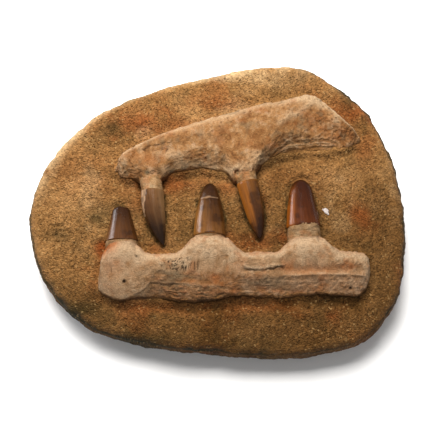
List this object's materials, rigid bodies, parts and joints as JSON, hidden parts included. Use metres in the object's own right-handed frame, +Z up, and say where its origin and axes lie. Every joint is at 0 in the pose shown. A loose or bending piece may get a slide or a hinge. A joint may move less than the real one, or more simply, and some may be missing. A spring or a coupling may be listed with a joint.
{
  "type": "fossil mosasaur jaw in matrix",
  "caption": "Fossil mosasaur jaw on its rock: upper and lower jaw pieces with conical teeth, standing proud of a rounded sandstone slab that lies flat.",
  "frame": {"origin": "under the middle of the slab's length and width, on the plane that it rests on", "axes": "+X along the slab and the jaws, to the right in the picture; +Y to the slab's far side, from the lower jaw to the upper; +Z up, out of the face that carries the fossil"},
  "size_m": [0.3, 0.2442, 0.0542],
  "materials": {
    "sandstone": "coarse, sandy, matt",
    "fossil_bone": "porous, matt",
    "tooth_root": "smooth, matt",
    "tooth_enamel": "polished, finely striated",
    "shell": "satin"
  },
  "bodies": {
    "root": {"sandstone_slab": "sandstone", "upper_jaw_bone": "fossil_bone", "lower_jaw_bone": "fossil_bone", "upper_tooth_left_crown": "tooth_enamel", "upper_tooth_left_root": "tooth_root", "upper_tooth_right_crown": "tooth_enamel", "upper_tooth_right_root": "tooth_root", "lower_tooth_left_crown": "tooth_enamel", "lower_tooth_left_root": "tooth_root", "lower_tooth_middle_crown": "tooth_enamel", "lower_tooth_middle_root": "tooth_root", "lower_tooth_right_crown": "tooth_enamel", "lower_tooth_right_root": "tooth_root", "shell_chip": "shell"}
  },
  "joints": []
}
